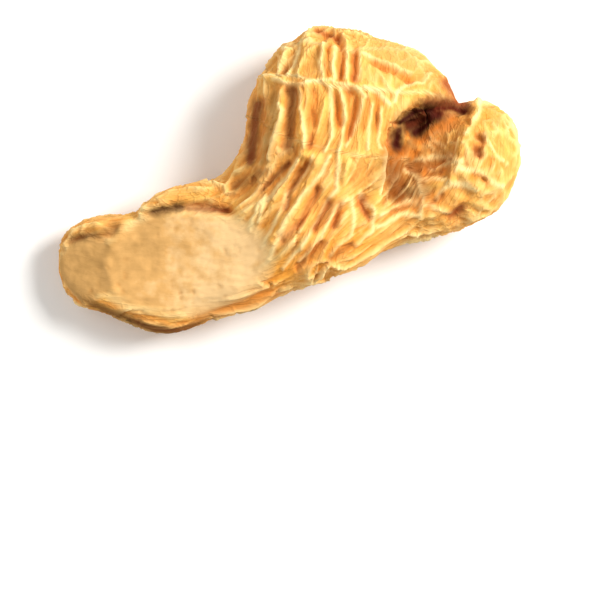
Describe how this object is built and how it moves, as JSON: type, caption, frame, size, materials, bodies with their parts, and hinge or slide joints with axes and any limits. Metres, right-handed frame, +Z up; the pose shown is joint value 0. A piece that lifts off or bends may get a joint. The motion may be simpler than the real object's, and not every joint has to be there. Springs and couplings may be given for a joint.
{
  "type": "ginger root",
  "caption": "Dried ginger root: a flattened, wrinkled rhizome with a peeled finger, a big knob and a small knob, lying on its broad side.",
  "frame": {"origin": "middle of the root's outline in plan, on the surface that it lies on", "axes": "+X along the root from the peeled finger's tip to the small knob, +Y from the finger towards the big knob, +Z up"},
  "size_m": [0.0767, 0.0509, 0.0212],
  "materials": {
    "dried_skin": "dry, matt, scraped skin"
  },
  "bodies": {
    "root": {"rhizome": "dried_skin"}
  },
  "joints": []
}
